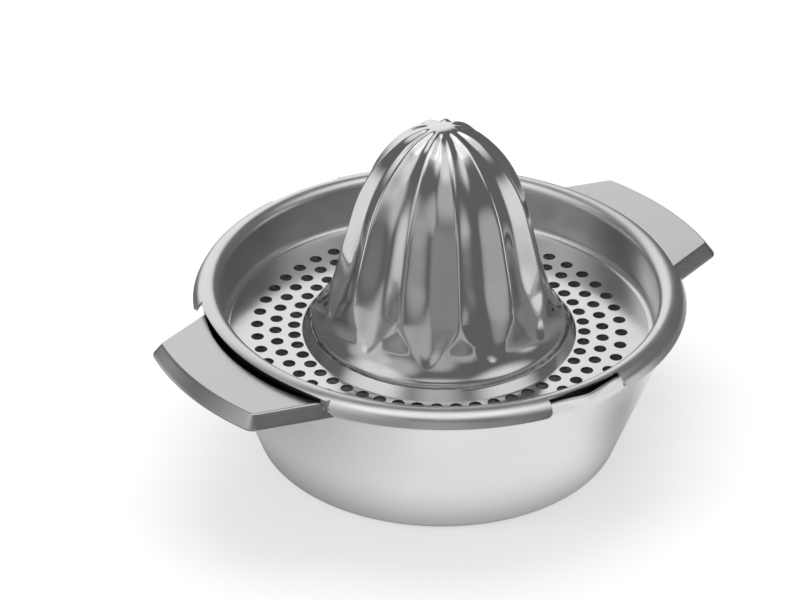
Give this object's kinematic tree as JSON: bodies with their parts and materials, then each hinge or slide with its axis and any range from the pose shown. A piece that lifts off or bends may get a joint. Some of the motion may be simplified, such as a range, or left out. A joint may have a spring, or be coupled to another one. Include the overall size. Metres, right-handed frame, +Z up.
{
  "type": "citrus juicer",
  "caption": "Pressed-steel citrus juicer: a pouring bowl with wing handles under a lift-off perforated strainer that carries a fluted reamer cone",
  "frame": {"origin": "middle of the base, on the plane that the bowl stands on", "axes": "+Z up; +X along the two handles, towards the right one; +Y towards one of the two pouring lips"},
  "size_m": [0.162, 0.1304, 0.0952],
  "materials": {
    "bowl_steel": "satin brushed stainless steel",
    "handle_steel": "satin stainless steel",
    "strainer_steel": "mirror-polished stainless steel",
    "reamer_steel": "mirror-polished stainless steel"
  },
  "bodies": {
    "bowl": {"bowl": "bowl_steel", "handle_left": "handle_steel", "handle_right": "handle_steel"},
    "strainer": {"strainer": "strainer_steel", "reamer_cone": "reamer_steel"}
  },
  "joints": [
    {"name": "strainer_lift", "type": "slide", "parent": "bowl", "child": "strainer", "axis": [0, 0, 1], "range_m": [0, 0.06]}
  ]
}
